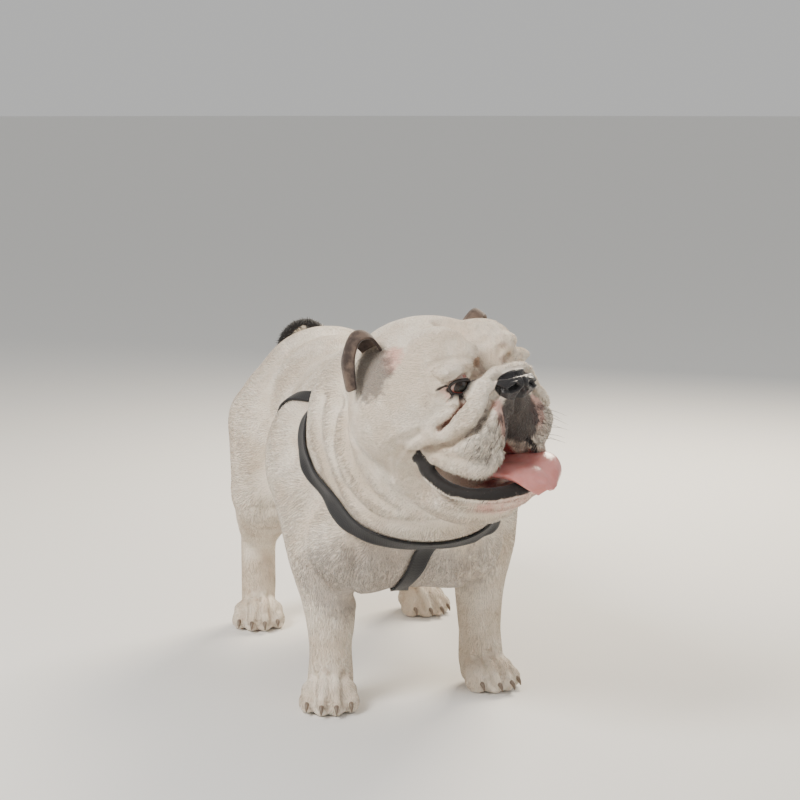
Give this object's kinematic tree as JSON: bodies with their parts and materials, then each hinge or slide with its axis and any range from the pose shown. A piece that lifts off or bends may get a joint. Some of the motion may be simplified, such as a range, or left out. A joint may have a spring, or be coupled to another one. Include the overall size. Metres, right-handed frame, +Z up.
{
  "type": "dog model",
  "caption": "Still, life-size model of an adult bulldog standing square with its head turned left, mouth open and tongue out, in a webbing harness.",
  "frame": {"origin": "on the floor under the middle of the model's bounding box", "axes": "+Z up; the dog's body faces -Y and its left side is +X"},
  "size_m": [0.2988, 0.6932, 0.4422],
  "materials": {
    "coat": "short flat fur, warm white with faint grey-brown ticking",
    "ear": "short flat fur, dark grey-brown",
    "eye": "wet, very dark brown",
    "tongue": "moist pink",
    "webbing": "black woven webbing"
  },
  "bodies": {
    "root": {"head": "coat", "lower_jaw": "coat", "neck": "coat", "chest": "coat", "loin": "coat", "tail": "coat", "leg_front_left": "coat", "leg_front_right": "coat", "leg_hind_left": "coat", "leg_hind_right": "coat", "ear_left": "ear", "ear_right": "ear", "eye_left": "eye", "eye_right": "eye", "tongue": "tongue", "harness_collar": "webbing", "harness_girth": "webbing", "harness_centre_strap": "webbing"}
  },
  "joints": []
}
